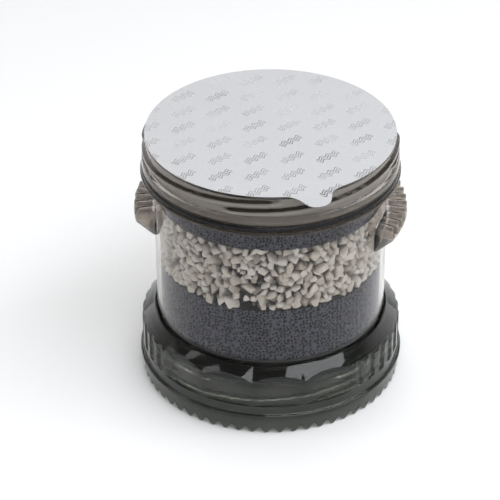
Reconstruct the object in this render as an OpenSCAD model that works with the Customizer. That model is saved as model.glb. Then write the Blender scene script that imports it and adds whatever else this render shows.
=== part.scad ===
// Threaded filter media module: a clear container with a screw neck on top and a
// captive screw collar below, so that modules stack into one canister.
// Millimetres. Origin on the axis at the collar's tooth tips, +Z up, +X through a grip,
// -Y through the middle of the collar's front flats.

/* [Container] */
// outer radius of the clear tube
body_r = 59.2; // [40:0.1:90]
// tube wall thickness
wall = 1.9; // [1:0.1:4]
// top of the neck rim
neck_top = 138; // [110:0.5:180]
// root radius of the neck thread
neck_r = 63; // [45:0.1:95]
// crest radius of the neck thread
crest_r = 64.6; // [46:0.1:97]
// radius of the plain pilot land below the thread
pilot_r = 64.9; // [46:0.1:98]
// radius of the bead under the O-ring
bead_r = 65.8; // [47:0.1:99]

/* [Thread] */
// number of thread starts
starts = 4; // [1:1:6]
// axial advance per turn
lead = 19.6; // [4:0.1:30]
// angle that each start runs round the neck
sweep = 113; // [60:1:160]

/* [Grips] */
// outer radius of the grip ribs
grip_r = 69.6; // [62:0.1:100]
// ribs on each grip
grip_ribs = 9; // [4:1:14]
// angle from one grip rib to the next
grip_pitch = 5.55; // [4:0.05:9]
// gap between two grip ribs, in degrees
grip_gap = 0.75; // [0.4:0.05:2]
// angle of the first rib's front face, measured from the front
grip_start = 69.2; // [50:0.1:80]
// top of the grips
grip_top = 99; // [60:0.5:130]

/* [Collar] */
// height of the collar
collar_h = 37.4; // [25:0.1:60]
// outer radius of the collar wall at the flat corners
collar_r = 67.2; // [50:0.1:100]
// radius of the collar's lower flange
flange_r = 68.6; // [51:0.1:102]
// teeth on the lower edge
teeth = 60; // [24:1:90]
// depth of a tooth
tooth_h = 3.5; // [1:0.1:6]
// vertical ribs on each side of the collar
collar_ribs = 12; // [6:1:16]
// radius of the bore that seals on the neck ring
socket_r = 65.35; // [47:0.05:99]

/* [Media] */
// top of the lower foam
foam_low_top = 68.2; // [40:0.5:100]
// top of the zeolite
zeolite_top = 103.8; // [60:0.5:120]
// top of the upper foam
foam_up_top = 117.8; // [80:0.5:130]
// radius of the media pads
media_r = 57; // [38:0.1:88]

/* [Seal] */
// radius of the peel-off seal
seal_r = 63.1; // [45:0.1:95]
// thickness of the seal
seal_t = 0.35; // [0.2:0.05:1]
// direction of the pull tab, measured from the front
tab_dir = 27; // [-90:1:90]
// reach of the pull tab from the axis
tab_reach = 73.4; // [66:0.1:80]

/* [Hidden] */
body_in = body_r - wall;
neck_in = 60;
bead_lo = 117.4;
ring_lo = 119;
ring_hi = 122.1;
pilot_hi = 126.7;
thread_z = 128.9;
grip_low = 85;
grip_step = 94.4;
seat_z = 28.2;
shoulder_z = 30.35;
tab_root = 61.4;
flat_mid = collar_r * cos(11.5) - 0.06;
rib_floor = 65.95;
fn = 180;
fn_small = 48;

// node to draw, or all

// a body turned round the axis from a profile of [radius, height] points
module turned(p) {
    rotate_extrude($fn = fn) polygon(p);
}

module ring(r1, r2, z1, z2) {
    turned([[r1, z1], [r2, z1], [r2, z2], [r1, z2]]);
}

// one start of a screw thread: a trapezoid ridge from radius ra to radius rb, on an arc tilted to the
// lead angle, which keeps within 0.2 mm of the true helix over a part turn
module ridge(ra, rb, root, crest, z0, a0) {
    rise = lead * sweep / 360;
    tilt = atan(rise / 2 / (ra * sin(sweep / 2)));
    translate([0, 0, z0 + rise / 2]) at_angle(a0 + sweep / 2) rotate([tilt, 0, 0]) rotate([0, 0, -sweep / 2])
        rotate_extrude(angle = sweep, $fn = fn) polygon([[ra, -root], [rb, -crest], [rb, crest], [ra, root]]);
}

// angles are measured from the front, towards +X
module at_angle(a) {
    rotate([0, 0, a - 90]) children();
}

// ---- seal ----

module seal_chord() {
    at_angle(tab_dir) translate([tab_root, -30, neck_top]) cube([20, 60, 3]);
}

module peel_seal() {
    color([0.83, 0.83, 0.83]) difference() {
        translate([0, 0, neck_top + 0.3]) cylinder(r = seal_r, h = seal_t, $fn = fn);
        translate([0, 0, -0.5]) seal_chord();
    }
}

module seal_tab() {
    z = neck_top + 0.3;
    color([0.83, 0.83, 0.83]) difference() {
        union() {
            at_angle(tab_dir) translate([tab_reach - 8.4, 0, z]) cylinder(r = 8.4, h = seal_t, $fn = fn_small);
            at_angle(tab_dir) translate([tab_root + 0.35, -8.4, z]) cube([tab_reach - 8.4 - tab_root - 0.35, 16.8, seal_t]);
            translate([0, 0, z]) cylinder(r = seal_r, h = seal_t, $fn = fn);
        }
        at_angle(tab_dir) translate([tab_root + 0.35 - 150, -100, z - 1]) cube([150, 200, 3]);
    }
}

// ---- container ----

module grip() {
    a0 = grip_start;
    span = grip_pitch * (grip_ribs - 1) + grip_pitch - grip_gap;
    // sloped chin and back wall that the ribs stand on
    rotate([0, 0, a0 - 90.3]) rotate_extrude(angle = span + 0.6, $fn = fn)
        polygon([[body_in + 0.6, grip_low], [60, grip_low], [61.2, grip_low + 0.5], [grip_r - 0.5, grip_step - 0.6],
                 [grip_r, grip_step], [grip_r, grip_step + 0.6], [65.4, grip_step + 0.6],
                 [65.4, grip_top - 0.7], [64.8, grip_top], [body_in + 0.6, grip_top]]);
    // ribs
    for (i = [0 : grip_ribs - 1])
        rotate([0, 0, a0 + i * grip_pitch - 90]) rotate_extrude(angle = grip_pitch - grip_gap, $fn = fn)
            polygon([[64, grip_step], [grip_r - 0.15, grip_step], [grip_r - 0.15, grip_top - 0.8],
                     [grip_r - 0.9, grip_top - 0.05], [64, grip_top - 0.05]]);
}

module container_body() {
    color([0.72, 0.71, 0.69, 0.5]) union() {
        turned([[body_in, seat_z + 1.8], [body_r, seat_z + 1.8], [body_r, 115.2], [60, 116.4], [64.9, 116.9],
                [bead_r, bead_lo + 0.4], [bead_r, ring_lo - 0.4], [bead_r - 0.4, ring_lo], [62.1, ring_lo],
                [62.1, ring_hi], [pilot_r, ring_hi], [pilot_r, pilot_hi - 0.5], [pilot_r - 0.5, pilot_hi],
                [neck_r, pilot_hi + 0.3], [neck_r, neck_top - 0.6], [neck_r - 0.6, neck_top],
                [neck_in + 0.4, neck_top], [neck_in, neck_top - 0.4], [neck_in, foam_up_top + 0.8],
                [body_in, foam_up_top + 0.8]]);
        for (k = [0 : starts - 1])
            ridge(neck_r - 0.6, crest_r, 1.75, 0.75, thread_z, k * 360 / starts - 12);
        grip();
        mirror([1, 0, 0]) grip();
    }
}

module neck_o_ring() {
    color([0.03, 0.03, 0.035]) rotate_extrude($fn = fn)
        translate([63.8, (ring_lo + ring_hi) / 2]) circle(r = 1.5, $fn = fn_small);
}

// ---- media and strainers ----

// ring slots between radial bars
module slots(first, step, width, last, z, h, bars) {
    difference() {
        for (r = [first : step : last]) ring(r, r + width, z, z + h);
        for (k = [0 : bars - 1]) rotate([0, 0, k * 360 / bars]) translate([0, -1.1, z - 1]) cube([last + width + 2, 2.2, h + 2]);
    }
}

module top_strainer() {
    z = foam_up_top + 0.8;
    color([0.25, 0.25, 0.26]) difference() {
        turned([[0, z], [59.75, z], [59.75, z + 4], [58.2, z + 4], [58.2, z + 1.6], [9, z + 1.6], [8, z + 5], [0, z + 5]]);
        slots(12, 6.5, 4.2, 52, z - 1, 4, 8);
        translate([0, 0, z + 1.8]) cylinder(r = 5.6, h = 4, $fn = fn_small);
    }
}

module upper_foam_pad() {
    color([0.2, 0.2, 0.23]) ring(0, media_r, zeolite_top, foam_up_top);
}

module zeolite_bed() {
    color([0.69, 0.66, 0.62]) ring(0, media_r, foam_low_top, zeolite_top);
}

module lower_foam_pad() {
    z = seat_z;
    // stepped in at the bottom, where it sits inside the base strainer's rim
    color([0.2, 0.2, 0.23]) turned([[0, z + 3.6], [body_in - 1.7, z + 3.6], [body_in - 1.7, z + 9.7], [media_r, z + 9.7],
                                    [media_r, foam_low_top], [0, foam_low_top]]);
}

module base_strainer() {
    z = seat_z;
    color([0.3, 0.3, 0.3]) difference() {
        turned([[0, z + 1.8], [48.5, z + 1.8], [49.5, z], [64.4, z], [64.4, z + 1.8], [body_in, z + 1.8],
                [body_in, z + 9], [body_in - 1.2, z + 9.6], [body_in - 1.6, z + 9.6], [body_in - 1.6, z + 3.6], [0, z + 3.6]]);
        slots(5.5, 6.5, 4.2, 44.6, z + 0.5, 4, 8);
    }
}

module base_gasket() {
    color([0.04, 0.04, 0.045]) turned([[59.6, seat_z - 1.5], [62.9, seat_z - 1.5], [63.1, seat_z - 1.3], [63.1, seat_z],
                                       [59.4, seat_z], [59.4, seat_z - 1.3]]);
}

// ---- collar ----

module collar_shell() {
    turned([[66.1, 0], [67.1, 0], [67.4, 0.4], [67.4, 8.8], [flange_r - 0.3, 9.3], [flange_r, 9.7], [flange_r, 11],
            [flange_r - 0.4, 11.5], [collar_r, 11.8], [collar_r, 30.7], [60.7, collar_h - 0.3], [60.2, collar_h],
            [59.75, collar_h], [59.55, collar_h - 0.2], [59.55, 34.9], [60.4, 34.2], [62.6, shoulder_z + 0.6],
            [62.6, shoulder_z], [64.75, shoulder_z], [64.75, 27.8], [63.9, 27.3], [63.9, 26.8], [64.8, 25.9],
            [64.8, 15.2], [socket_r, 14.8], [socket_r, 7.5], [66.1, 6.9]]);
}

// a point at a distance out along an angle from the front, and at an offset square to it
function at_front(a, out, across = 0) = [out * sin(a) + across * cos(a), across * sin(a) - out * cos(a)];

// four flats at the front and four at the back, cut as one outline a side
module flats() {
    corner = flat_mid / cos(11.5);
    for (side = [0, 180]) rotate([0, 0, side]) translate([0, 0, 16.2]) linear_extrude(30)
        polygon([at_front(-34.5, flat_mid, -25), at_front(-23, corner), at_front(0, corner), at_front(23, corner),
                 at_front(34.5, flat_mid, 25), at_front(34.5, 90, 25), at_front(0, 100), at_front(-34.5, 90, -25)]);
}

// scalloped pockets that leave the side ribs standing
module pockets() {
    for (side = [0, 180], i = [0 : collar_ribs - 2])
        at_angle(side + 50 + i * 88 / (collar_ribs - 1)) translate([rib_floor + 4, 0, 16.2]) cylinder(r = 4, h = 30, $fn = fn_small);
}

module crown_notches() {
    w = 2 * 67 * tan(180 / teeth);
    for (k = [0 : teeth - 1])
        at_angle((k + 0.5) * 360 / teeth) translate([60, 0, 0]) rotate([90, 0, 90])
            linear_extrude(12) polygon([[-w / 2 + 0.45, -1], [-w / 2 + 0.45, 0], [-0.35, tooth_h], [0.35, tooth_h],
                                        [w / 2 - 0.45, 0], [w / 2 - 0.45, -1]]);
}

module collar_nut() {
    color([0.3, 0.31, 0.29, 0.6]) union() {
        difference() {
            collar_shell();
            flats();
            pockets();
            crown_notches();
        }
        for (k = [0 : starts - 1])
            ridge(65.4, 63.35, 1.75, 0.75, 16.6, k * 360 / starts + 27.5);
    }
}

peel_seal();
seal_tab();
container_body();
neck_o_ring();
top_strainer();
upper_foam_pad();
zeolite_bed();
lower_foam_pad();
base_strainer();
base_gasket();
collar_nut();
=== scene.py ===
import bpy, bmesh, math
import numpy as np
from mathutils import Vector, Matrix
from mathutils import geometry as mg


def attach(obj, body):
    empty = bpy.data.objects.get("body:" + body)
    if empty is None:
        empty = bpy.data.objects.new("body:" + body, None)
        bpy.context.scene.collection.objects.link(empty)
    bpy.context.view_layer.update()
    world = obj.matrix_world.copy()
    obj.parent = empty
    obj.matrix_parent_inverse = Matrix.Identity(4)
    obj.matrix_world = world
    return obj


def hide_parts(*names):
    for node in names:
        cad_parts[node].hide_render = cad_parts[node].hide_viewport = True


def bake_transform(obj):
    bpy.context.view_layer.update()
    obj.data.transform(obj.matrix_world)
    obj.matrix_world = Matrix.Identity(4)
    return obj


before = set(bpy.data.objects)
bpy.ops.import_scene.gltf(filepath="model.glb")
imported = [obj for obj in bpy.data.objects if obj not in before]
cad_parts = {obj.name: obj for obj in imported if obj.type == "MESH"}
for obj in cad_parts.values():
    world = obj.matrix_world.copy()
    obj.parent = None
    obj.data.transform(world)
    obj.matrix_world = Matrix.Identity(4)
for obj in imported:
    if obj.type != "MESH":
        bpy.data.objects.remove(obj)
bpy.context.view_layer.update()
MM = 0.001
rad = math.radians

# ---------------------------------------------------------------- sizes, in mm, as in the CAD model
BODY_R, BODY_IN = 59.2, 57.4
NECK_TOP, NECK_R, CREST_R, PILOT_R, BEAD_R, NECK_IN = 138.0, 63.0, 64.6, 64.9, 65.8, 60.0
STARTS, LEAD, SWEEP = 4, 19.6, 113.0
GRIP_R, GRIP_N, GRIP_PITCH, GRIP_GAP, GRIP_START = 69.6, 9, 5.55, 0.75, 69.2
GRIP_LOW, GRIP_STEP, GRIP_TOP = 85.0, 94.4, 99.0
COLLAR_R, FLANGE_R, COLLAR_H, FLAT_MID, RIB_FLOOR, TEETH = 67.2, 68.6, 37.4, 67.2 * math.cos(rad(11.5)) - 0.06, 65.95, 60
MEDIA_R, FOAM_LOW, ZEO_TOP, FOAM_UP = 57.0, 68.2, 103.8, 117.8
SEAL_R, SEAL_Z, TAB_DIR, TAB_ROOT, TAB_REACH = 63.1, 138.3, 27.0, 61.575, 73.4


def smooth(x, a, b):
    t = np.clip((x - a) / (b - a), 0.0, 1.0)
    return t * t * (3 - 2 * t)


def refine(profile, step):
    """Adds points to a list of (r, z, tag, step) so that no span is longer than its own step, or the given one."""
    out = []
    n = len(profile)
    for i in range(n):
        r0, z0, tag, *s = profile[i]
        r1, z1, *_ = profile[(i + 1) % n]
        d = math.hypot(r1 - r0, z1 - z0)
        k = max(1, int(math.ceil(d / (s[0] if s else step))))
        for j in range(k):
            f = j / k
            out.append((r0 + (r1 - r0) * f, z0 + (z1 - z0) * f, tag))
    return out


def torus_mesh(name, P, wrap=True, sharp=35.0):
    """A closed mesh from rows of points P[row, column, xyz] in mm; columns wrap, and rows wrap too."""
    nr, nc = P.shape[:2]
    idx = np.arange(nr * nc).reshape(nr, nc)
    a = idx
    b = np.roll(idx, -1, axis=1)
    c = np.roll(b, -1, axis=0)
    d = np.roll(idx, -1, axis=0)
    F = np.stack([a, b, c, d], -1)
    if not wrap:
        F = F[:-1]
    F = F.reshape(-1, 4)
    me = bpy.data.meshes.new(name)
    me.vertices.add(nr * nc)
    me.vertices.foreach_set("co", (P.reshape(-1) * MM).astype(np.float32))
    me.loops.add(F.size)
    me.loops.foreach_set("vertex_index", F.reshape(-1).astype(np.int32))
    me.polygons.add(len(F))
    me.polygons.foreach_set("loop_start", np.arange(0, F.size, 4, dtype=np.int32))
    me.polygons.foreach_set("loop_total", np.full(len(F), 4, dtype=np.int32))
    me.update()
    me.validate()
    bm = bmesh.new()
    bm.from_mesh(me)
    bmesh.ops.recalc_face_normals(bm, faces=bm.faces)
    if bm.calc_volume(signed=True) < 0:
        bmesh.ops.reverse_faces(bm, faces=bm.faces)
    bm.to_mesh(me)
    bm.free()
    me.shade_smooth()
    if sharp:
        me.set_sharp_from_angle(angle=rad(sharp))
    ob = bpy.data.objects.new(name, me)
    bpy.context.scene.collection.objects.link(ob)
    return ob


def columns(step, extra):
    base = np.arange(0, 360, step)
    ex = np.array(sorted(set(round(float(e) % 360, 4) for e in extra)))
    if len(ex):
        near = np.array([np.min(np.abs((b - ex + 180) % 360 - 180)) for b in base])
        base = base[near > step * 0.35]
    return np.array(sorted(list(base) + list(ex)))


def lathe(profile, cols):
    """r, z and angle grids for a profile; angle is measured from the front (-Y) towards +X."""
    r = np.array([p[0] for p in profile])[:, None] * np.ones(len(cols))[None, :]
    z = np.array([p[1] for p in profile])[:, None] * np.ones(len(cols))[None, :]
    a = np.ones(len(profile))[:, None] * cols[None, :]
    tags = np.array([p[2] for p in profile])
    return r, z, a, tags


def to_xyz(r, z, a):
    t = np.radians(a)
    return np.stack([r * np.sin(t), -r * np.cos(t), z], -1)


def thread(a, z, z0, a0, height, root, crest, fade=7.0):
    """Height of a multi-start part-turn thread over its root, for angles and heights."""
    h = np.zeros_like(z)
    for k in range(STARTS):
        s = (a - a0 - k * 360.0 / STARTS) % 360.0
        s = np.where(s > 300, s - 360, s)
        zc = z0 + LEAD * np.clip(s, 0, SWEEP) / 360.0
        d = np.abs(z - zc)
        # the ends narrow and sink as a cutter's run-out
        over = np.maximum(-s, s - SWEEP)
        f = 1 - smooth(over, -fade * 0.6, fade * 0.4)
        prof = 1 - smooth(d, crest * (0.55 + 0.45 * f), crest * 0.2 + root * (0.75 + 0.25 * f))
        h = np.maximum(h, height * f * prof)
    return h


# ---------------------------------------------------------------- container
def grip_radius(z, in_gap):
    """Outer radius of a grip at a height: sloped chin, step, then ribs over a back wall."""
    r = np.interp(z, [84.9, 85.0, 85.25, 85.7, 86.3, 93.4, 94.1, 94.6, 95.0, 98.1, 98.65, 98.95, 99.0, 99.06],
                  [BODY_R, 59.9, 60.6, 61.1, 61.7, 68.7, 69.35, 69.6, 69.5, 69.45, 69.15, 68.5, 68.2, BODY_R])
    g = np.interp(z, [84.9, 90.5, 91.5, 93.0, 95.0, 95.2, 98.4, 98.8, 99.0, 99.06], [99, 99, 66.4, 66.9, 66.9, 64.4, 64.4, 64.2, 63.6, BODY_R])
    return np.where(in_gap, np.minimum(r, g), r)


def build_container():
    P = [(58.9, 30.0, "o", 1), (BODY_R, 30.35, "o", 4), (BODY_R, 38.0, "o", 6), (BODY_R, 84.0, "o", 1), (BODY_R, 84.9, "g", 1)]
    for z in (85.0, 85.25, 85.7, 86.3, 87.5, 89.5, 91.5, 93.0, 93.4, 93.8, 94.1, 94.35, 94.6, 94.8, 95.0, 95.2, 95.6, 96.8, 97.6, 98.1, 98.4, 98.65, 98.8, 98.95, 99.0):
        P.append((BODY_R, z, "g", 9))
    P += [(BODY_R, 99.06, "o", 1), (BODY_R, 100.0, "o", 4), (BODY_R, 114.6, "o", 0.3), (59.45, 115.4, "o", 0.3), (60.1, 116.1, "o", 0.5), (61.2, 116.55, "o", 1),
          (64.6, 117.0, "o", 0.4), (65.4, 117.3, "o", 0.3), (BEAD_R, 117.8, "o", 0.5), (BEAD_R, 118.5, "o", 0.3), (65.6, 118.85, "o", 0.3),
          (65.2, 119.0, "o", 1), (62.5, 119.02, "o", 0.5), (62.1, 119.3, "o", 0.8), (62.1, 121.8, "o", 0.5), (62.5, 122.08, "o", 1),
          (64.5, 122.1, "o", 0.5), (64.85, 122.2, "o", 0.4), (PILOT_R + 0.08, 122.5, "o", 0.4), (PILOT_R, 123.0, "o", 0.8), (PILOT_R - 0.1, 125.9, "o", 0.4), (PILOT_R - 0.3, 126.4, "o", 0.3),
          (PILOT_R - 0.75, 126.72, "o", 0.5), (63.4, 126.95, "o", 0.3), (NECK_R, 127.25, "t", 0.36), (NECK_R, 137.1, "o", 0.3),
          (62.9, 137.5, "o", 0.3), (62.6, 137.85, "o", 0.3), (62.1, NECK_TOP, "o", 1), (60.6, NECK_TOP, "o", 0.5), (60.15, 137.8, "o", 0.3),
          (NECK_IN, 137.4, "i", 2.5), (NECK_IN, 119.1, "i", 0.5), (59.8, 118.62, "i", 1), (57.9, 118.6, "i", 0.4), (57.55, 118.45, "i", 0.4),
          (BODY_IN, 118.1, "i", 8), (BODY_IN, 30.4, "i", 1), (57.7, 30.0, "i", 1.3)]
    prof = refine(P, 1.0)
    ex = []
    for side in (1, -1):
        for i in range(GRIP_N):
            s = GRIP_START + i * GRIP_PITCH
            e = s + GRIP_PITCH - GRIP_GAP
            ex += [side * v for v in (s - 0.06, s, s + 0.14, s + 0.45, e - 0.45, e - 0.14, e, e + 0.06)]
    cols = columns(1.2, ex)
    r, z, a, tags = lathe(prof, cols)
    sa = np.abs((a + 180) % 360 - 180)
    rel = sa - GRIP_START
    inside = (rel > -0.03) & (rel < (GRIP_N - 1) * GRIP_PITCH + GRIP_PITCH - GRIP_GAP + 0.03)
    k = np.mod(rel + 0.03, GRIP_PITCH)
    in_gap = inside & (k > GRIP_PITCH - GRIP_GAP + 0.06)
    gr = grip_radius(z, in_gap)
    # round the ribs' corners
    edge = np.minimum(k, np.abs(GRIP_PITCH - GRIP_GAP + 0.06 - k))
    gr = np.where(inside & ~in_gap & (gr > 62) & (z > 94.9), gr - 0.42 * (1 - smooth(edge, 0.0, 0.4)), gr)
    # each rib's outer face is flat and faces straight out sideways, so the row steps in towards its ends
    i_rib = np.clip(np.floor((rel + 0.03) / GRIP_PITCH), 0, GRIP_N - 1)
    e0 = np.abs(GRIP_START + i_rib * GRIP_PITCH - 90.0)
    e1 = np.abs(GRIP_START + i_rib * GRIP_PITCH + GRIP_PITCH - GRIP_GAP - 90.0)
    flat_x = np.cos(np.radians(np.maximum(e0, e1))) / np.cos(np.radians(np.clip(sa - 90.0, -30, 30)))
    gr = np.where(inside & ~in_gap & (z > 94.9) & (gr > 66), np.minimum(gr, gr * flat_x), gr)
    is_g = (tags == "g")[:, None] & inside
    r = np.where(is_g, gr, r)
    # the top faces' edges sink a little towards the gaps
    z = np.where(is_g & ~in_gap & (z > 98.6), z - 0.3 * (1 - smooth(edge, 0.0, 0.35)), z)
    is_t = (tags == "t")[:, None]
    r = np.where(is_t, r + thread(a, z, 128.9, -12.0, CREST_R - NECK_R, 1.75, 0.75), r)
    # a faint waviness of a moulded wall
    ta = np.radians(a)
    wav = 0.035 * np.sin(3 * ta + 0.7 + z * 0.05) + 0.02 * np.sin(7 * ta - z * 0.11)
    r = r + np.where((tags == "i")[:, None] & (z < 118) & (z > 33), wav, 0)
    ob = torus_mesh("container", to_xyz(r, z, a), sharp=24.0)
    # 0 to 1: how dull the surface is, on the inside of the neck and over the grips
    frost = np.where((tags == "i")[:, None] & (z > 118.4), 0.6, 0.0)
    milk = np.where(is_g & (r > 60.5), np.where(z < 94.8, 0.25, 0.6), 0.0)
    frost = np.maximum(frost, np.where(is_g & (r > 60.5), 0.2, 0.0))
    # painted shade on the upper flank of a thread ridge, painted light under it
    dh = thread(a, z - 0.45, 128.9, -12.0, 1.0, 1.75, 0.75) - thread(a, z + 0.45, 128.9, -12.0, 1.0, 1.75, 0.75)
    tint_and_painted_shade = np.where(is_t, 0.60 + np.clip(dh, -0.5, 0.5) * 0.9, 0.5)
    # painted shade: the rim band at the top of the neck is darker
    tint_and_painted_shade = np.where((tags == "o")[:, None] & (z > 137.2), 0.85, tint_and_painted_shade)
    # painted shade: the land over the ring and the bead's top are coloured near black to stand in for the black ring
    # seen through them
    tint_and_painted_shade = np.where((tags == "o")[:, None] & (z > 121.9) & (z < 124.4), 0.95 - 0.45 * smooth(z, 123.2, 124.4), tint_and_painted_shade)
    tint_and_painted_shade = np.where((tags == "o")[:, None] & (z > 118.6) & (z < 119.1) & (r > 62.3), 0.95, tint_and_painted_shade)
    tint_and_painted_shade = np.where(is_g & (r > 60.5) & (z < 94.8), 0.52, tint_and_painted_shade)
    # painted shade: the gaps between the grip ribs are near black
    tint_and_painted_shade = np.where(is_g & in_gap & (z > 90.5), 1.0, tint_and_painted_shade)
    # rib faces darker for the thick plastic, with painted highlights along their edges
    tint_and_painted_shade = np.where(is_g & (r > 60.5) & ~in_gap & (z > 94.8), 0.74 + 0.20 * smooth(edge, 0.1, 1.3), tint_and_painted_shade)
    at = ob.data.attributes.new("tint_and_painted_shade", "FLOAT", "POINT")
    at.data.foreach_set("value", tint_and_painted_shade.reshape(-1).astype(np.float32))
    at = ob.data.attributes.new("frost", "FLOAT", "POINT")
    at.data.foreach_set("value", frost.reshape(-1).astype(np.float32))
    # how far the thick parts are cloudy
    milk = np.where(is_t, 0.22, milk)
    at = ob.data.attributes.new("milk", "FLOAT", "POINT")
    at.data.foreach_set("value", milk.reshape(-1).astype(np.float32))
    return ob


# ---------------------------------------------------------------- collar
def collar_outer(a, z):
    """Outer radius of the collar wall over the lower flange: flats front and back, ribbed sides, cone on top."""
    cone = np.interp(z, [0, 30.7, 37.1], [99, COLLAR_R, 60.7])
    r = np.minimum(COLLAR_R, cone)
    s = np.abs((a + 180) % 360 - 180)
    s = np.minimum(s, 180 - s)              # 0 at the front or the back
    # flats
    c = 23.0 * np.floor(s / 23.0) + 11.5
    flat = FLAT_MID / np.cos(np.radians(s - c))
    r = np.where((s < 46.3) & (z > 16.2), np.minimum(r, flat), r)
    # scalloped pockets between the side ribs
    d = (s - 46.0) / 8.0
    ph = (d - np.floor(d) - 0.5) * 8.0      # degrees from a pocket's middle
    x = np.radians(ph) * 66.5
    rho = 4.0
    sc = RIB_FLOOR + rho - np.sqrt(np.maximum(rho * rho - x * x, 0))
    sc = np.where(np.abs(x) < rho, sc, 99)
    # pockets open out at the lower end with a rounded sill
    sill = 1 - smooth(z, 16.2, 17.4)
    sc = sc + sill * 3.0
    r = np.where((s >= 46.0) & (z > 16.2), np.minimum(r, sc), r)
    return r


def build_collar():
    P = []
    # crown and band: z runs from the tooth edge up
    P += [(66.5, 0.0, "c0", 9), (67.05, 0.12, "c1", 9), (67.35, 0.5, "c2", 9), (67.4, 1.6, "c3", 9), (67.4, 3.2, "c4", 9), (67.4, 4.2, "o", 1.4), (67.4, 8.3, "o", 0.4),
          (67.5, 8.8, "o", 0.3), (67.9, 9.05, "o", 0.4), (68.3, 9.2, "o", 0.25), (68.52, 9.45, "o", 0.3), (FLANGE_R, 9.8, "o", 0.5), (FLANGE_R, 10.8, "o", 0.3),
          (68.5, 11.15, "o", 0.3), (68.2, 11.4, "o", 0.4), (67.6, 11.55, "o", 0.3), (67.3, 11.8, "o", 0.3), (COLLAR_R, 12.2, "o", 1.0), (COLLAR_R, 15.7, "w", 0.3)]
    for z in (16.0, 16.15, 16.25, 16.4, 16.7, 17.1, 17.6, 18.5, 20.5, 23.0, 26.0, 28.5, 29.5, 30.0, 30.4, 30.7, 31.0, 31.4, 31.8, 32.2, 32.7, 33.3, 34.0, 35.0, 36.0, 36.7):
        P.append((COLLAR_R, z, "w", 9))
    P += [(60.75, 37.15, "o", 0.3), (60.35, 37.36, "o", 0.3), (59.95, COLLAR_H, "o", 0.3), (59.65, 37.2, "o", 0.4), (59.55, 36.8, "o", 1.2),
          (59.55, 35.1, "o", 0.3), (59.75, 34.8, "o", 0.5), (60.6, 34.1, "o", 0.8), (62.6, 31.2, "o", 0.4), (62.6, 30.5, "o", 0.4), (62.8, 30.35, "o", 1.2),
          (64.6, 30.35, "o", 0.4), (64.75, 30.1, "o", 1.2), (64.75, 27.8, "o", 0.4), (63.95, 27.35, "o", 0.5), (63.9, 26.9, "o", 0.4), (64.95, 25.9, "f", 0.36),
          (64.95, 15.2, "o", 0.4), (65.2, 14.75, "o", 1.5), (65.2, 7.6, "o", 0.4), (66.05, 6.9, "o", 1.4), (66.1, 4.2, "o", 9), (66.1, 3.2, "c4", 9), (66.1, 1.6, "c3", 9), (66.15, 0.5, "c2", 9), (66.3, 0.12, "c1", 9)]
    prof = refine(P, 1.0)
    ex = []
    for k in range(TEETH):
        for f in (0.0, 0.09, 0.16, 0.3, 0.42, 0.5, 0.58, 0.7, 0.84, 0.91):
            ex.append((k + f) * 6.0)
    for side in (0, 180):
        for c in (-46.15, -46.0, -23, 0, 23, 46.0, 46.15):
            ex.append(side + c)
    cols = columns(6.0, ex)
    r, z, a, tags = lathe(prof, cols)
    # teeth: tips at whole multiples of 6 degrees, rounded tips and rounder valleys
    u = np.abs(((a / 6.0 + 0.5) % 1.0) - 0.5) * 2.0          # 0 at a tip, 1 in a valley
    edge = 3.5 * np.interp(u, [0, 0.18, 0.32, 0.6, 0.84, 1.0], [0, 0.06, 0.24, 0.66, 0.95, 1.0])
    depth = {"c0": 0.0, "c1": 0.12, "c2": 0.5, "c3": 1.6, "c4": 3.2}
    for t, h in depth.items():
        m = (tags == t)[:, None]
        # each row lies between the toothed edge and the band above
        z = np.where(m, edge + (4.2 - edge) * (h / 4.2), z)
    w = (tags == "w")[:, None]
    # the rows bend so that one of them runs along the crease between the cone and the flats or pockets
    low = collar_outer(a, np.full_like(z, 25.0))
    zc = 30.7 + (COLLAR_R - low) * 6.4 / 6.5
    s_ = np.abs((a + 180) % 360 - 180)
    s_ = np.minimum(s_, 180 - s_)
    c_ = 23.0 * np.floor(np.minimum(s_, 45.99) / 23.0) + 11.5
    zc = np.where(s_ <= 46.0, 30.7 + 3.4 * (1 - np.minimum(np.abs(s_ - c_) / 11.5, 1) ** 2), zc)
    up = np.where(z <= 30.7, 18.5 + (z - 18.5) * (zc - 18.5) / (30.7 - 18.5), zc + (z - 30.7) * (36.7 - zc) / (36.7 - 30.7))
    z = np.where(w & (z > 18.5), up, z)
    r = np.where(w, collar_outer(a, np.minimum(z, 25.0)), r)
    r = np.where(w & (z > zc), low + (60.75 - low) * (z - zc) / (37.15 - zc), r)
    f = (tags == "f")[:, None]
    r = np.where(f, np.minimum(r, 64.95) - thread(a, z, 16.6, 27.5, 1.6, 1.75, 0.75), r)
    return torus_mesh("collar", to_xyz(r, z, a), sharp=14.0)


# ---------------------------------------------------------------- materials
def new_mat(name):
    m = bpy.data.materials.new(name)
    m.use_nodes = True
    nt = m.node_tree
    b = nt.nodes["Principled BSDF"]
    return m, nt, b


def add(nt, kind, **kw):
    n = nt.nodes.new(kind)
    for k, v in kw.items():
        setattr(n, k, v)
    return n


def ramp(nt, pts, interp="LINEAR"):
    n = nt.nodes.new("ShaderNodeValToRGB")
    cr = n.color_ramp
    cr.interpolation = interp
    while len(cr.elements) < len(pts):
        cr.elements.new(0.5)
    for e, (p, c) in zip(cr.elements, pts):
        e.position = p
        e.color = (c[0], c[1], c[2], 1) if len(c) == 3 else c
    return n


def srgb(*c):
    out = []
    for v in c:
        v = v / 255.0
        out.append(v / 12.92 if v <= 0.04045 else ((v + 0.055) / 1.055) ** 2.4)
    return tuple(out)


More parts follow.
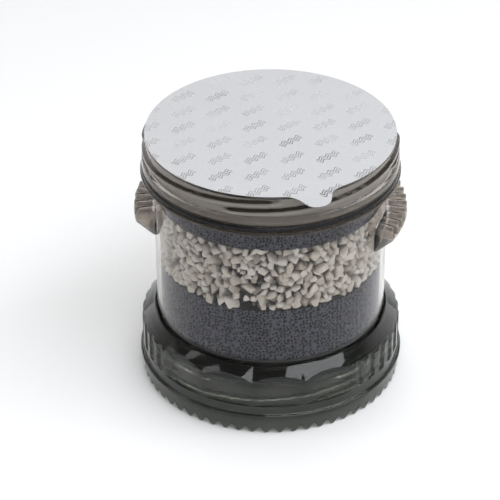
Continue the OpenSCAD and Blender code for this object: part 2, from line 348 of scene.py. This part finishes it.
def clear_plastic(name, base, absorb, density, rough=0.04, ior=1.52, bump=0.02, scale=180.0, frosted=False):
    """Tinted see-through moulding: darker with depth through the volume, faint flow marks; frosted=True adds the duller
    inside of the neck and the grips, and base colour from an attribute that carries tint and painted shade and
    highlights.
    """
    m, nt, b = new_mat(name)
    b.inputs["Base Color"].default_value = (*base, 1)
    b.inputs["Transmission Weight"].default_value = 1.0
    b.inputs["IOR"].default_value = ior
    va = add(nt, "ShaderNodeVolumeAbsorption")
    va.inputs["Color"].default_value = (*absorb, 1)
    va.inputs["Density"].default_value = density
    nt.links.new(va.outputs[0], nt.nodes["Material Output"].inputs["Volume"])
    tc = add(nt, "ShaderNodeTexCoord")
    n1 = add(nt, "ShaderNodeTexNoise")
    n1.inputs["Scale"].default_value = scale
    n1.inputs["Detail"].default_value = 3
    nt.links.new(tc.outputs["Object"], n1.inputs["Vector"])
    mr = add(nt, "ShaderNodeMapRange")
    mr.inputs["To Min"].default_value = rough * 0.6
    mr.inputs["To Max"].default_value = rough * 1.5
    nt.links.new(n1.outputs["Fac"], mr.inputs["Value"])
    out = mr.outputs[0]
    if frosted:
        at = add(nt, "ShaderNodeAttribute", attribute_name="frost")
        ad = add(nt, "ShaderNodeMath", operation="MULTIPLY_ADD")
        ad.inputs[1].default_value = 0.6
        nt.links.new(at.outputs["Fac"], ad.inputs[0])
        nt.links.new(out, ad.inputs[2])
        out = ad.outputs[0]
        # the ramp runs from painted highlight white, through the plastic's tint, to near-black painted shade
        ti = add(nt, "ShaderNodeAttribute", attribute_name="tint_and_painted_shade")
        rt = ramp(nt, [(0.0, (1.0, 1.0, 0.99)), (0.5, base), (0.64, (0.62, 0.545, 0.475)), (1.0, (0.05, 0.040, 0.032))])
        nt.links.new(ti.outputs["Fac"], rt.inputs["Fac"])
        nt.links.new(rt.outputs["Color"], b.inputs["Base Color"])
        mk = add(nt, "ShaderNodeAttribute", attribute_name="milk")
        cl = add(nt, "ShaderNodeMath", operation="SUBTRACT")
        cl.inputs[0].default_value = 1.0
        nt.links.new(mk.outputs["Fac"], cl.inputs[1])
        nt.links.new(cl.outputs[0], b.inputs["Transmission Weight"])
    nt.links.new(out, b.inputs["Roughness"])
    bp = add(nt, "ShaderNodeBump")
    bp.inputs["Strength"].default_value = bump
    bp.inputs["Distance"].default_value = 0.0004
    nt.links.new(n1.outputs["Fac"], bp.inputs["Height"])
    nt.links.new(bp.outputs[0], b.inputs["Normal"])
    return m


def assign(ob, mat):
    ob.data.materials.clear()
    ob.data.materials.append(mat)


M_BODY = clear_plastic("clear_smoke_plastic", (0.955, 0.945, 0.93), (0.60, 0.56, 0.52), 80.0, rough=0.02, ior=1.30, frosted=True)
M_COLLAR = clear_plastic("smoke_plastic", (0.73, 0.74, 0.70), (0.40, 0.42, 0.38), 620.0, rough=0.06, ior=1.42)

container = build_container()
assign(container, M_BODY)
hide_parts("container_body")
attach(container, "container")

collar = build_collar()
assign(collar, M_COLLAR)
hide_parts("collar_nut")
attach(collar, "collar")


# ---------------------------------------------------------------- O-ring
def build_ring():
    n = 40
    pts = []
    for j in range(n):
        t = 2 * math.pi * j / n
        pts.append((63.8 + 1.5 * math.cos(t), 120.55 + 1.5 * math.sin(t), "o"))
    cols = np.arange(0, 360, 1.0)
    r, z, a, _ = lathe(pts, cols)
    ta = np.radians(a)
    r = r + 0.03 * np.sin(ta * 5 + 1.0) + 0.02 * np.sin(ta * 13)
    z = z + 0.03 * np.sin(ta * 4 + 2.0)
    return torus_mesh("o_ring", to_xyz(r, z, a), sharp=None)


def rubber(name, base=(0.006, 0.006, 0.007), rough=0.2):
    m, nt, b = new_mat(name)
    b.inputs["Specular IOR Level"].default_value = 0.2
    tc = add(nt, "ShaderNodeTexCoord")
    n1 = add(nt, "ShaderNodeTexNoise")
    n1.inputs["Scale"].default_value = 900
    n1.inputs["Detail"].default_value = 4
    nt.links.new(tc.outputs["Object"], n1.inputs["Vector"])
    rp = ramp(nt, [(0.3, base), (0.75, tuple(v * 1.9 for v in base))])
    nt.links.new(n1.outputs["Fac"], rp.inputs["Fac"])
    nt.links.new(rp.outputs["Color"], b.inputs["Base Color"])
    mr = add(nt, "ShaderNodeMapRange")
    mr.inputs["To Min"].default_value = rough * 0.7
    mr.inputs["To Max"].default_value = rough * 1.8
    nt.links.new(n1.outputs["Fac"], mr.inputs["Value"])
    nt.links.new(mr.outputs[0], b.inputs["Roughness"])
    bp = add(nt, "ShaderNodeBump")
    bp.inputs["Strength"].default_value = 0.08
    bp.inputs["Distance"].default_value = 0.0002
    nt.links.new(n1.outputs["Fac"], bp.inputs["Height"])
    nt.links.new(bp.outputs[0], b.inputs["Normal"])
    return m


M_RUB = rubber("o_ring_rubber")
oring = build_ring()
assign(oring, M_RUB)
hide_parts("neck_o_ring")
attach(oring, "container")
assign(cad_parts["base_gasket"], M_RUB)


def moulded(name, base, rough=0.42):
    m, nt, b = new_mat(name)
    tc = add(nt, "ShaderNodeTexCoord")
    n1 = add(nt, "ShaderNodeTexNoise")
    n1.inputs["Scale"].default_value = 700
    n1.inputs["Detail"].default_value = 5
    nt.links.new(tc.outputs["Object"], n1.inputs["Vector"])
    rp = ramp(nt, [(0.3, base), (0.8, tuple(v * 1.5 for v in base))])
    nt.links.new(n1.outputs["Fac"], rp.inputs["Fac"])
    nt.links.new(rp.outputs["Color"], b.inputs["Base Color"])
    b.inputs["Roughness"].default_value = rough
    bp = add(nt, "ShaderNodeBump")
    bp.inputs["Strength"].default_value = 0.15
    bp.inputs["Distance"].default_value = 0.0003
    nt.links.new(n1.outputs["Fac"], bp.inputs["Height"])
    nt.links.new(bp.outputs[0], b.inputs["Normal"])
    return m


M_STR = moulded("strainer_plastic", (0.05, 0.05, 0.052))
assign(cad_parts["base_strainer"], M_STR)
M_STR2 = moulded("strainer_smoke", (0.52, 0.485, 0.45))
assign(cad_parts["top_strainer"], M_STR2)


# ---------------------------------------------------------------- foam
def worley(P, cell, seed):
    """Distances to the nearest two of a jittered grid of points, and a random number of the nearest, for P in mm."""
    q = P / cell
    c = np.floor(q).astype(np.int64)
    f1 = np.full(len(P), 9.0)
    f2 = np.full(len(P), 9.0)
    ident = np.zeros(len(P))
    for dx in (-1, 0, 1):
        for dy in (-1, 0, 1):
            for dz in (-1, 0, 1):
                n = c + np.array([dx, dy, dz])
                h = (n[:, 0] * 73856093) ^ (n[:, 1] * 19349663) ^ (n[:, 2] * 83492791) ^ (seed * 2654435761)
                off = []
                for k in range(4):
                    g = (h + k * 1013904223) & 0xFFFFFFFF
                    g = ((g ^ (g >> 16)) * 0x45D9F3B) & 0xFFFFFFFF
                    g = ((g ^ (g >> 16)) * 0x45D9F3B) & 0xFFFFFFFF
                    g = (g ^ (g >> 16)) & 0xFFFFFFFF
                    off.append(g / 4294967295.0)
                d = np.linalg.norm(q - (n + 0.12 + 0.76 * np.stack(off[:3], -1)), axis=1)
                closer = d < f1
                f2 = np.where(closer, f1, np.minimum(f2, d))
                ident = np.where(closer, off[3], ident)
                f1 = np.where(closer, d, f1)
    return f1 * cell, f2 * cell, ident


def foam_cyl(name, z0, z1, seed, low_step=None):
    """A closed disc of open-cell foam: the side wall is a net of struts round recessed pores."""
    nc = 900
    dz = 0.40
    zs = np.arange(z0 + 0.3, z1 - 0.29, dz)
    R = MEDIA_R - 0.15
    rows = [(0.02, z0), (R * 0.5, z0), (R - 3, z0), (R - 0.5, z0 + 0.02)] + [(R, q) for q in zs] + [(R - 0.5, z1 - 0.02), (R - 3, z1), (R * 0.5, z1), (0.02, z1)]
    if low_step:
        rows = [(0.02, z0), (30, z0), (low_step - 0.4, z0), (low_step, z0 + 0.4), (low_step, z0 + 6.2), (R - 0.5, z0 + 6.4)] + [(R, q) for q in zs if q > z0 + 6.8] + [(R - 0.5, z1 - 0.02), (R - 3, z1), (R * 0.5, z1), (0.02, z1)]
    r = np.array([p[0] for p in rows])[:, None] * np.ones(nc)
    z = np.array([p[1] for p in rows])[:, None] * np.ones(nc)
    a = np.ones(len(rows))[:, None] * (np.arange(nc) * 360.0 / nc)[None, :]
    side = np.array([abs(p[0] - R) < 1e-6 for p in rows])[:, None] & np.ones(nc, bool)[None, :]
    P = to_xyz(r, z, a).reshape(-1, 3)
    f1, f2, ident = worley(P, 1.75, seed)
    g1, g2, gid = worley(P, 0.95, seed + 9)
    pore = smooth((f2 - f1), 0.10, 0.62)
    fine = smooth((g2 - g1), 0.05, 0.4)
    deep = (0.45 + 0.75 * ident) * pore * (0.55 + 0.45 * fine) + 0.22 * fine * gid
    # painted shade: the pores are darker and the struts round them lighter, with random variation from cell to cell
    tone = np.clip((1 - pore) * (0.55 + 0.55 * gid) + 0.30 * (1 - fine) * (0.4 + ident) * (1 - 0.6 * pore), 0, 1)
    deep = deep.reshape(r.shape)
    rnd = np.random.default_rng(seed).standard_normal(r.shape)
    ta = np.radians(a)
    big = 0.10 * np.sin(ta * 9 + z * 0.3) + 0.08 * np.sin(ta * 17 - z * 0.5)
    r = r + np.where(side, -0.12 - deep * 0.95 + big * 0.4, 0)
    r = np.minimum(r, MEDIA_R - 0.02)
    z = z + np.where(side, 0.05 * rnd, 0)
    ob = torus_mesh(name, to_xyz(r, z, a), sharp=None)
    at = ob.data.attributes.new("tone", "FLOAT", "POINT")
    at.data.foreach_set("value", np.where(side.reshape(-1), tone, 0.4).astype(np.float32))
    return ob


def foam_mat():
    m, nt, b = new_mat("charcoal_foam")
    at = add(nt, "ShaderNodeAttribute", attribute_name="tone")
    tc = add(nt, "ShaderNodeTexCoord")
    n1 = add(nt, "ShaderNodeTexNoise")
    n1.inputs["Scale"].default_value = 1900
    n1.inputs["Detail"].default_value = 3
    n1.inputs["Roughness"].default_value = 0.7
    nt.links.new(tc.outputs["Object"], n1.inputs["Vector"])
    ma = add(nt, "ShaderNodeMath", operation="MULTIPLY_ADD")
    ma.inputs[1].default_value = 0.9
    nt.links.new(n1.outputs["Fac"], ma.inputs[0])
    nt.links.new(at.outputs["Fac"], ma.inputs[2])
    # near-black painted shade in the pores, up to painted highlight specks on the struts at the top of the ramp
    rp = ramp(nt, [(0.40, srgb(2, 2, 3)), (0.74, srgb(7, 7, 10)), (0.98, srgb(20, 21, 28)), (1.0, srgb(84, 87, 102))])
    nt.links.new(ma.outputs[0], rp.inputs["Fac"])
    nt.links.new(rp.outputs["Color"], b.inputs["Base Color"])
    b.inputs["Roughness"].default_value = 0.7
    b.inputs["Specular IOR Level"].default_value = 0.15
    bp = add(nt, "ShaderNodeBump")
    bp.inputs["Strength"].default_value = 0.5
    bp.inputs["Distance"].default_value = 0.0004
    nt.links.new(n1.outputs["Fac"], bp.inputs["Height"])
    nt.links.new(bp.outputs[0], b.inputs["Normal"])
    return m


M_FOAM = foam_mat()
foam_low = foam_cyl("foam_lower", 31.8, FOAM_LOW, 11, low_step=55.4)
foam_up = foam_cyl("foam_upper", ZEO_TOP, FOAM_UP, 23)
for ob, node in ((foam_low, "lower_foam_pad"), (foam_up, "upper_foam_pad")):
    assign(ob, M_FOAM)
    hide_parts(node)
    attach(ob, "container")


# ---------------------------------------------------------------- zeolite
def pack_stones(rng, z0, z1, r_in, r_out):
    """Centres and radii of a jammed random packing of balls in a ring, by pushing overlaps apart."""
    vol = math.pi * (r_out ** 2 - r_in ** 2) * (z1 - z0)
    radii = []
    filled = 0.0
    while filled < vol * 0.67:
        t = rng.random()
        d = rng.uniform(4.6, 5.9) if t < 0.30 else rng.uniform(3.5, 4.6) if t < 0.74 else rng.uniform(2.3, 3.5)
        radii.append(d / 2)
        filled += math.pi / 6 * d ** 3
    rho = np.array(radii)
    n = len(rho)
    rr = np.sqrt(rng.uniform(r_in ** 2, r_out ** 2, n))
    t = rng.uniform(0, 2 * math.pi, n)
    P = np.stack([rr * np.cos(t), rr * np.sin(t), rng.uniform(z0, z1, n)], -1)
    for it in range(110):
        order = np.argsort(np.arctan2(P[:, 1], P[:, 0]))
        P, rho = P[order], rho[order]
        move = np.zeros_like(P)
        W = 200                     # neighbours in angle order, wrapped round
        for k in range(1, W):
            Q = np.roll(P, -k, axis=0)
            rq = np.roll(rho, -k)
            d = Q - P
            L = np.sqrt((d * d).sum(1)) + 1e-9
            need = (rho + rq) - L
            on = need > 0
            if not on.any():
                continue
            push = np.where(on, need, 0)[:, None] * d / L[:, None] * 0.36
            move -= push
            move += np.roll(push, k, axis=0)
        P = P + move
        h = np.hypot(P[:, 0], P[:, 1])
        lim_out, lim_in = r_out - rho * 0.92, r_in
        h2 = np.clip(h, lim_in, lim_out)
        P[:, 0] *= h2 / h
        P[:, 1] *= h2 / h
        P[:, 2] = np.clip(P[:, 2], z0 + rho * 0.85, z1 - rho * 0.85)
    return P, rho


def stone(rng, rho):
    """A crushed grain about its own centre: random planes round a squashed ball, as vertices of a convex hull."""
    ax = np.array([1.22, 1.0, 0.80]) * rng.uniform(0.88, 1.14, 3)
    planes = []
    k = rng.integers(7, 11)
    # well-spread random directions
    dirs = []
    for v in rng.normal(0, 1, (60, 3)):
        v = v / np.linalg.norm(v)
        if len(dirs) < k and all(np.dot(v, w) < 0.62 for w in dirs):
            dirs.append(v)
    M = np.linalg.qr(rng.normal(0, 1, (3, 3)))[0]
    for v in dirs:
        off = rho * rng.uniform(0.72, 0.98)
        w = v / ax
        L = np.linalg.norm(w)
        w = M @ (w / L)
        planes.append(Vector((*w, -off / L)))
    for e in np.eye(3):
        for sgn in (1, -1):
            planes.append(Vector((*(e * sgn), -rho * 1.42)))
    vs, _ = mg.points_in_planes(planes)
    return vs


def build_zeolite():
    rng = np.random.default_rng(5)
    z0, z1 = FOAM_LOW, ZEO_TOP
    r_in, r_out = 45.5, 56.9
    P, rho = pack_stones(rng, z0, z1, r_in, r_out)
    verts, faces, tones, painted_shade_depths = [], [], [], []
    made = 0
    for i in range(len(P)):
        p, q = P[i], rho[i]
        rr = math.hypot(p[0], p[1])
        if rr < 47.5:
            continue
        vs = stone(rng, q * 1.03)
        uniq = []
        for v in vs:
            if all((v - w).length > q * 0.10 for w in uniq):
                uniq.append(v)
        if len(uniq) < 5:
            continue
        b2 = bmesh.new()
        for v in uniq:
            b2.verts.new(v)
        res = bmesh.ops.convex_hull(b2, input=b2.verts)
        junk = [e for e in res["geom_interior"] if isinstance(e, bmesh.types.BMVert)]
        if junk:
            bmesh.ops.delete(b2, geom=junk, context="VERTS")
        if len(b2.faces) < 4:
            b2.free()
            continue
        bmesh.ops.dissolve_limit(b2, angle_limit=rad(9), verts=b2.verts, edges=b2.edges)
        near = rr + q > 52.5
        bmesh.ops.bevel(b2, geom=list(b2.edges), offset=q * (0.13 if near else 0.1), segments=1, affect="EDGES", profile=0.6, clamp_overlap=True)
        bmesh.ops.triangulate(b2, faces=b2.faces)
        # chips and pits
        c = Vector((float(p[0]), float(p[1]), float(p[2])))
        base = len(verts)
        b2.verts.index_update()
        big = 0.0
        co = []
        for v in b2.verts:
            w = v.co * (1 + rng.normal(0, 0.018)) + c
            h = math.hypot(w.x, w.y)
            big = max(big, h)
            co.append([w.x, w.y, w.z, h])
        # slide a stone that pokes through the wall back inside, and flatten what's left of it
        back = max(0.0, big - r_out) * 0.75
        for w in co:
            w[0] -= c.x / rr * back
            w[1] -= c.y / rr * back
            h = math.hypot(w[0], w[1])
            if h > r_out:
                w[0] *= r_out / h
                w[1] *= r_out / h
            w[2] = min(max(w[2], z0 - 0.9), z1 + 0.9)
            verts.append((w[0] * MM, w[1] * MM, w[2] * MM))
            # painted shade: 0 deep in the bed, 1 at the wall
            painted_shade_depths.append(float(np.clip((math.hypot(w[0], w[1]) - 51.0) / 5.6, 0, 1)))
        tone = rng.uniform(0, 1)
        tones += [tone] * len(co)
        for f in b2.faces:
            faces.append(tuple(base + v.index for v in f.verts))
        b2.free()
        made += 1
    # a rough core behind the visible stones, painted near black as shade
    n, m = 180, 22
    base = len(verts)
    for j in range(m + 1):
        zz = z0 + 0.2 + (z1 - z0 - 0.4) * j / m
        for i in range(n):
            t = 2 * math.pi * i / n
            r = 48.2 + rng.normal(0, 0.7)
            verts.append((r * math.cos(t) * MM, r * math.sin(t) * MM, zz * MM))
            tones.append(0.1)
            painted_shade_depths.append(0.0)
    for j in range(m):
        for i in range(n):
            a_, b_ = base + j * n + i, base + j * n + (i + 1) % n
            faces.append((a_, b_, b_ + n, a_ + n))
    verts.append((0, 0, (z1 - 0.2) * MM))
    verts.append((0, 0, (z0 + 0.2) * MM))
    tones += [0.1, 0.1]
    painted_shade_depths += [0.0, 0.0]
    tc, bc = len(verts) - 2, len(verts) - 1
    for i in range(n):
        faces.append((base + m * n + i, base + m * n + (i + 1) % n, tc))
        faces.append((base + (i + 1) % n, base + i, bc))
    me = bpy.data.meshes.new("zeolite")
    me.from_pydata(verts, [], faces)
    me.update()
    at = me.attributes.new("tone", "FLOAT", "POINT")
    at.data.foreach_set("value", np.array(tones, np.float32))
    at = me.attributes.new("depth", "FLOAT", "POINT")
    at.data.foreach_set("value", np.array(painted_shade_depths, np.float32))
    me.shade_smooth()
    me.set_sharp_from_angle(angle=rad(30))
    ob = bpy.data.objects.new("zeolite", me)
    bpy.context.scene.collection.objects.link(ob)
    print("zeolite stones", made, "faces", len(me.polygons))
    return ob


def zeolite_mat():
    m, nt, b = new_mat("zeolite")
    tc = add(nt, "ShaderNodeTexCoord")
    at = add(nt, "ShaderNodeAttribute", attribute_name="tone")      # one tone for each grain
    rp = ramp(nt, [(0.0, srgb(205, 197, 188)), (0.25, srgb(232, 225, 217)), (0.7, srgb(246, 241, 234)), (1.0, srgb(252, 249, 245))])
    nt.links.new(at.outputs["Fac"], rp.inputs["Fac"])
    n1 = add(nt, "ShaderNodeTexNoise")
    n1.inputs["Scale"].default_value = 1100
    n1.inputs["Detail"].default_value = 6
    n1.inputs["Roughness"].default_value = 0.75
    nt.links.new(tc.outputs["Object"], n1.inputs["Vector"])
    rp2 = ramp(nt, [(0.30, (0.70, 0.68, 0.66)), (0.48, (0.96, 0.955, 0.95)), (0.65, (1.0, 1.0, 1.0))])
    nt.links.new(n1.outputs["Fac"], rp2.inputs["Fac"])
    mx = add(nt, "ShaderNodeMix", data_type="RGBA", blend_type="MULTIPLY")
    mx.inputs["Factor"].default_value = 1.0
    nt.links.new(rp.outputs["Color"], mx.inputs["A"])
    nt.links.new(rp2.outputs["Color"], mx.inputs["B"])
    # painted shade between the grains: the colour darkens with depth into the bed, near black at the core
    dp = add(nt, "ShaderNodeAttribute", attribute_name="depth")
    rp4 = ramp(nt, [(0.0, (0.03, 0.028, 0.025)), (0.42, (0.09, 0.082, 0.075)), (0.74, (0.50, 0.48, 0.46)), (0.93, (1.0, 1.0, 1.0))])
    nt.links.new(dp.outputs["Fac"], rp4.inputs["Fac"])
    mx2 = add(nt, "ShaderNodeMix", data_type="RGBA", blend_type="MULTIPLY")
    mx2.inputs["Factor"].default_value = 1.0
    nt.links.new(mx.outputs["Result"], mx2.inputs["A"])
    nt.links.new(rp4.outputs["Color"], mx2.inputs["B"])
    nt.links.new(mx2.outputs["Result"], b.inputs["Base Color"])
    b.inputs["Roughness"].default_value = 0.85
    bp = add(nt, "ShaderNodeBump")
    bp.inputs["Strength"].default_value = 0.6
    bp.inputs["Distance"].default_value = 0.0006
    nt.links.new(n1.outputs["Fac"], bp.inputs["Height"])
    nt.links.new(bp.outputs[0], b.inputs["Normal"])
    return m


M_ZEO = zeolite_mat()
zeo = build_zeolite()
assign(zeo, M_ZEO)
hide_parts("zeolite_bed")
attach(zeo, "container")


# ---------------------------------------------------------------- seal with its pull tab
def seal_outline(n=720):
    """Radius of the sheet's outline by angle from the front: a disc with a rounded tongue and soft fillets."""
    a = np.arange(n) * 360.0 / n
    u = (a - TAB_DIR + 180) % 360 - 180
    # the tongue as a rounded bump in polar form
    w = 6.1
    s = np.clip(np.abs(u) / w, 0, 3)
    bump = np.where(s < 1, np.sqrt(np.maximum(1 - (s * 0.86) ** 2.6, 0)), 0)
    tongue = (TAB_REACH - SEAL_R)
    # smooth skirt beyond the tongue's sides
    side = np.sqrt(max(1 - 0.86 ** 2.6, 0))
    skirt = side * np.exp(-np.maximum(s - 1, 0) * 2.3) * (1 - smooth(s, 1.3, 2.7))
    r = SEAL_R + tongue * np.where(s < 1, bump, skirt)
    return a, r


def build_seal():
    a, R = seal_outline()
    n = len(a)
    fr = np.concatenate([np.linspace(0, 0.9, 19)[1:], np.linspace(0.9, 1.0, 6)[1:]])
    rng = np.random.default_rng(3)
    V = [(0.0, 0.0)]
    rings = []
    for f in fr:
        rr = R * f if f > 0.9 else (SEAL_R * f + (R - SEAL_R) * max(0, (f - 0.8) / 0.1) * f)
        t = np.radians(a)
        rings.append(np.stack([rr * np.sin(t), -rr * np.cos(t)], -1))
    XY = np.concatenate([np.zeros((1, 2))] + rings)

    def height(xy):
        x, y = xy[:, 0], xy[:, 1]
        r = np.hypot(x, y)
        ang = np.arctan2(x, -y)
        # very soft drum waves, fading at the bonded rim
        w = 0.10 * np.sin(x * 0.055 + 0.6) * np.cos(y * 0.062 - 0.4) + 0.05 * np.sin((x + y) * 0.12) + 0.03 * np.sin((x - 0.6 * y) * 0.21)
        z = SEAL_Z + 0.175 + w * (1 - smooth(r, 52, 61))
        # slight dish
        z = z - 0.10 * (1 - (np.minimum(r, 61) / 61) ** 2)
        d = x * math.sin(rad(TAB_DIR)) - y * math.cos(rad(TAB_DIR)) - TAB_ROOT
        # the tongue droops a little
        z = z - np.where(r > SEAL_R - 0.8, 0.012 * np.clip(d - 1.2, 0, 20) ** 2, 0)
        return z

    Z = height(XY)
    th = 0.12
    top = np.column_stack([XY, np.minimum(Z + th, SEAL_Z + 0.348)])
    bot = np.column_stack([XY, top[:, 2] - 2 * th])
    verts = np.concatenate([top, bot]) * MM
    N = len(XY)
    faces = []
    for i in range(n):
        j = (i + 1) % n
        faces.append((0, 1 + i, 1 + j))
        faces.append((N, N + 1 + j, N + 1 + i))
        for k in range(len(fr) - 1):
            o, q = 1 + k * n, 1 + (k + 1) * n
            faces.append((o + i, q + i, q + j, o + j))
            faces.append((N + o + i, N + o + j, N + q + j, N + q + i))
        o = 1 + (len(fr) - 1) * n
        faces.append((o + i, N + o + i, N + o + j, o + j))
    me = bpy.data.meshes.new("seal")
    me.from_pydata([tuple(v) for v in verts], [], faces)
    me.update()
    bm = bmesh.new()
    bm.from_mesh(me)
    bmesh.ops.recalc_face_normals(bm, faces=bm.faces)
    bm.to_mesh(me)
    bm.free()
    me.shade_smooth()
    me.set_sharp_from_angle(angle=rad(40))
    ob = bpy.data.objects.new("seal", me)
    bpy.context.scene.collection.objects.link(ob)
    return ob


def seal_mat():
    """White lidding foil with a repeated glossy ink motif: three short wavy lines on the slant."""
    m, nt, b = new_mat("seal_foil")
    tc = add(nt, "ShaderNodeTexCoord")
    L = nt.links.new

    def math_(op, a, b_=None, c=None, clamp=False):
        n = nt.nodes.new("ShaderNodeMath")
        n.operation = op
        n.use_clamp = clamp
        for k, v in enumerate((a, b_, c)):
            if v is None:
                continue
            if isinstance(v, (int, float)):
                n.inputs[k].default_value = v
            else:
                L(v, n.inputs[k])
        return n.outputs[0]

    sp = add(nt, "ShaderNodeSeparateXYZ")
    L(tc.outputs["Object"], sp.inputs[0])
    x = math_("MULTIPLY", sp.outputs["X"], 1000.0)
    y = math_("MULTIPLY", sp.outputs["Y"], 1000.0)
    g = rad(8.0 + 2.1)
    u = math_("ADD", math_("MULTIPLY", x, math.cos(g)), math_("MULTIPLY", y, math.sin(g)))
    v = math_("ADD", math_("MULTIPLY", x, -math.sin(g)), math_("MULTIPLY", y, math.cos(g)))
    PX, PY, U0, V0 = 17.7, 15.6, -0.6, 3.2
    cu = math_("SUBTRACT", math_("MULTIPLY", math_("FRACT", math_("MULTIPLY", math_("ADD", u, U0), 1 / PX)), PX), PX / 2)
    cv = math_("SUBTRACT", math_("MULTIPLY", math_("FRACT", math_("MULTIPLY", math_("ADD", v, V0), 1 / PY)), PY), PY / 2)
    t = rad(38.0)
    s_ = math_("ADD", math_("MULTIPLY", cu, math.cos(t)), math_("MULTIPLY", cv, math.sin(t)))
    t_ = math_("ADD", math_("MULTIPLY", cu, -math.sin(t)), math_("MULTIPLY", cv, math.cos(t)))
    wave = math_("MULTIPLY", math_("SINE", math_("MULTIPLY", s_, 2 * math.pi / 4.3)), 0.75)
    q = math_("SUBTRACT", t_, wave)
    lines = None
    for off in (-1.55, 0.0, 1.55):
        d = math_("ABSOLUTE", math_("SUBTRACT", q, off))
        k = math_("MULTIPLY", math_("SUBTRACT", 0.44, d), 5.0, clamp=True)
        lines = k if lines is None else math_("MAXIMUM", lines, k)
    # broken ends: the middle line is longer
    ends = math_("MULTIPLY", math_("SUBTRACT", 7.4, math_("ADD", math_("ABSOLUTE", s_), math_("MULTIPLY", math_("ABSOLUTE", t_), 0.5))), 4.0, clamp=True)
    mask = math_("MULTIPLY", lines, ends)
    n1 = add(nt, "ShaderNodeTexNoise")
    n1.inputs["Scale"].default_value = 500
    n1.inputs["Detail"].default_value = 4
    L(tc.outputs["Object"], n1.inputs["Vector"])
    rp = ramp(nt, [(0.3, srgb(184, 184, 186)), (0.7, srgb(188, 188, 190))])
    L(n1.outputs["Fac"], rp.inputs["Fac"])
    mx = add(nt, "ShaderNodeMix", data_type="RGBA")
    L(mask, mx.inputs["Factor"])
    L(rp.outputs["Color"], mx.inputs["A"])
    mx.inputs["B"].default_value = (0.40, 0.40, 0.42, 1)
    L(mx.outputs["Result"], b.inputs["Base Color"])
    L(mask, b.inputs["Metallic"])
    L(math_("SUBTRACT", 0.50, math_("MULTIPLY", mask, 0.40)), b.inputs["Roughness"])
    bp = add(nt, "ShaderNodeBump")
    bp.inputs["Strength"].default_value = 0.05
    bp.inputs["Distance"].default_value = 0.0003
    L(n1.outputs["Fac"], bp.inputs["Height"])
    L(bp.outputs[0], b.inputs["Normal"])
    return m


M_SEAL = seal_mat()
seal = build_seal()
assign(seal, M_SEAL)
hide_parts("peel_seal", "seal_tab")
td = Vector((math.sin(rad(TAB_DIR)), -math.cos(rad(TAB_DIR)), 0))
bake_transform(seal)

# ---------------------------------------------------------------- floor, light, camera
bm = bmesh.new()
bmesh.ops.create_grid(bm, x_segments=2, y_segments=2, size=4.0)
me = bpy.data.meshes.new("floor")
bm.to_mesh(me)
bm.free()
floor = bpy.data.objects.new("floor", me)
bpy.context.scene.collection.objects.link(floor)
floor.location = (0, 0, -0.0002)
fm, nt, b = new_mat("floor_pale")
b.inputs["Base Color"].default_value = (0.96, 0.96, 0.96, 1)
b.inputs["Roughness"].default_value = 0.7
assign(floor, fm)


def area(name, loc, target, size, power, color=(1, 1, 1), shape="RECTANGLE", size_y=None):
    L = bpy.data.lights.new(name, "AREA")
    L.energy = power
    L.color = color
    L.shape = shape
    L.size = size
    L.size_y = size_y or size
    o = bpy.data.objects.new(name, L)
    bpy.context.scene.collection.objects.link(o)
    o.location = loc
    d = Vector(target) - Vector(loc)
    o.rotation_euler = d.to_track_quat("-Z", "Y").to_euler()
    return o


def on_sphere(az, el, dist, target=(0, 0, 0.07)):
    """A place at an azimuth from the front (-Y) towards +X and an elevation, in degrees."""
    a, e = rad(az), rad(el)
    return (target[0] + dist * math.cos(e) * math.sin(a), target[1] - dist * math.cos(e) * math.cos(a), target[2] + dist * math.sin(e))


area("softbox_right", on_sphere(54, 57, 1.1), (0, 0, 0.07), 1.7, 12.5, (0.95, 0.975, 1.0), size_y=0.5)
area("softbox_top", on_sphere(-160, 78, 1.3), (0, 0, 0.07), 0.5, 2.4)
area("softbox_left", on_sphere(-82, 40, 1.2), (0, 0, 0.07), 0.30, 1.3, size_y=0.7)

w = bpy.data.worlds.new("studio")
bpy.context.scene.world = w
w.use_nodes = True
wn = w.node_tree
bg = wn.nodes["Background"]
tc = add(wn, "ShaderNodeTexCoord")
sp = add(wn, "ShaderNodeSeparateXYZ")
wn.links.new(tc.outputs["Generated"], sp.inputs[0])


def mrange(nt, src, a, b_, c, d, kind="SMOOTHSTEP"):
    n = nt.nodes.new("ShaderNodeMapRange")
    n.interpolation_type = kind
    n.inputs["From Min"].default_value = a
    n.inputs["From Max"].default_value = b_
    n.inputs["To Min"].default_value = c
    n.inputs["To Max"].default_value = d
    nt.links.new(src, n.inputs["Value"])
    return n.outputs[0]


band = mrange(wn, sp.outputs["Z"], 0.475, 0.555, 1.0, 0.0)
back = mrange(wn, sp.outputs["Y"], 0.1, 0.75, 0.30, 1.55)
m1 = add(wn, "ShaderNodeMath", operation="MULTIPLY")
wn.links.new(band, m1.inputs[0])
wn.links.new(back, m1.inputs[1])
m2 = add(wn, "ShaderNodeMath", operation="ADD")
wn.links.new(m1.outputs[0], m2.inputs[0])
m2.inputs[1].default_value = 0.27
wn.links.new(m2.outputs[0], bg.inputs[1])
bg.inputs[0].default_value = (1.0, 1.0, 1.0, 1)

sc = bpy.context.scene
sc.view_settings.view_transform = "Standard"
sc.view_settings.look = "None"
sc.view_settings.exposure = 0.0

D, F_PX, ELEV, X0, Y0, ZT, AZ = 1.200, 2318.14, 0.58333, 270.6, 258.17, 0.062, rad(8.0)
cam = bpy.data.cameras.new("cam")
cam.sensor_width = 36.0
cam.lens = F_PX / 500.0 * 36.0
cam.clip_start = 0.05
cam.clip_end = 50
cam.shift_x = -(X0 - 250.0) / 500.0
cam.shift_y = (Y0 - 250.0) / 500.0
co = bpy.data.objects.new("cam", cam)
sc.collection.objects.link(co)
co.location = (D * math.cos(ELEV) * math.sin(AZ), -D * math.cos(ELEV) * math.cos(AZ), ZT + D * math.sin(ELEV))
co.rotation_euler = (Vector((0, 0, ZT)) - co.location).to_track_quat("-Z", "Y").to_euler()
sc.camera = co
